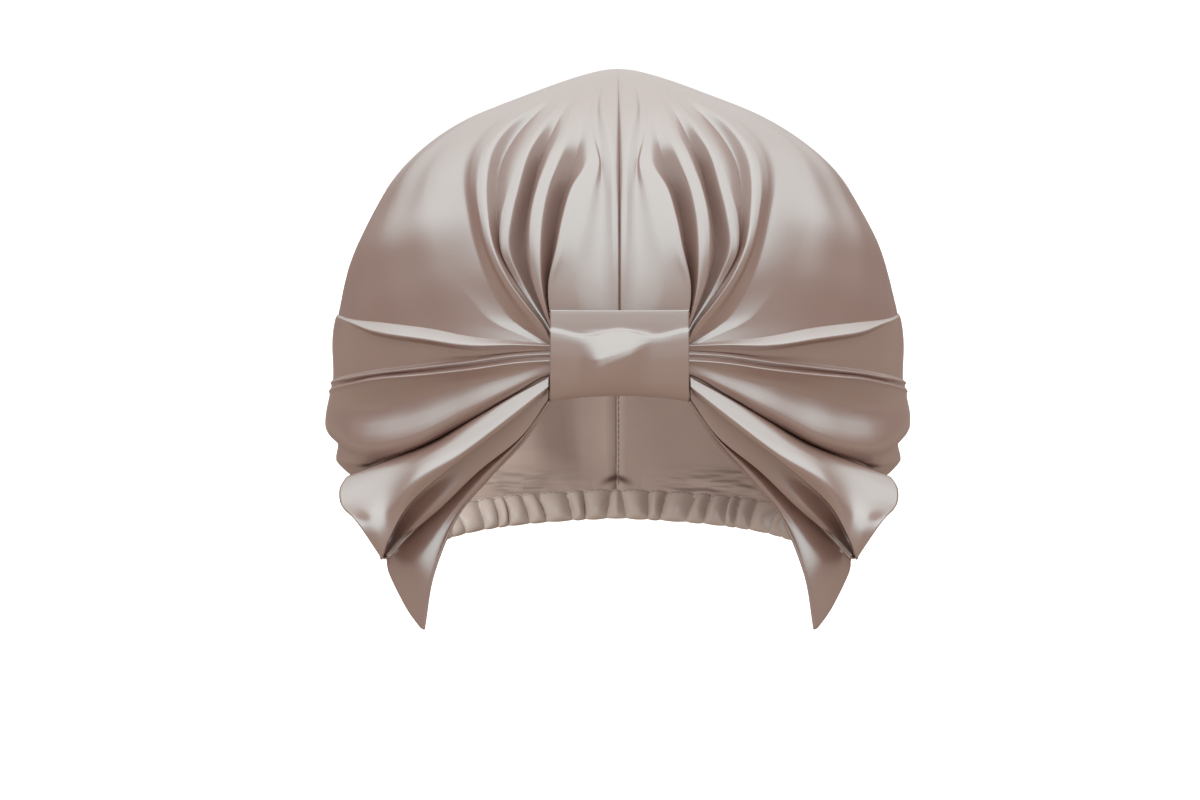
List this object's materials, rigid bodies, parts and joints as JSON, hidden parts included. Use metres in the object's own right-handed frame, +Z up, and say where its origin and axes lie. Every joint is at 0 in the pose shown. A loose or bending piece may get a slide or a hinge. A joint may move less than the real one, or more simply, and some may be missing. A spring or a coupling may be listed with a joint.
{
  "type": "hair wrap",
  "caption": "Satin hair wrap with a knot band at the forehead, pleats running to the sides, two hanging pleated ends and a gathered elastic hem at the nape.",
  "frame": {"origin": "centre of the head opening, level with the nape hem, where the head carries the wrap", "axes": "+Z up through the crown, -Y towards the forehead and the knot, +X towards the right of a viewer who faces the knot"},
  "size_m": [0.2636, 0.2362, 0.245],
  "materials": {
    "satin": "woven polyester satin, glossy face outward, soft champagne taupe",
    "satin_back": "the duller reverse of the same satin, gathered on elastic"
  },
  "bodies": {
    "root": {"panel_right": "satin", "panel_left": "satin", "flap_right": "satin", "flap_left": "satin", "knot_band": "satin", "nape_casing": "satin_back"}
  },
  "joints": []
}
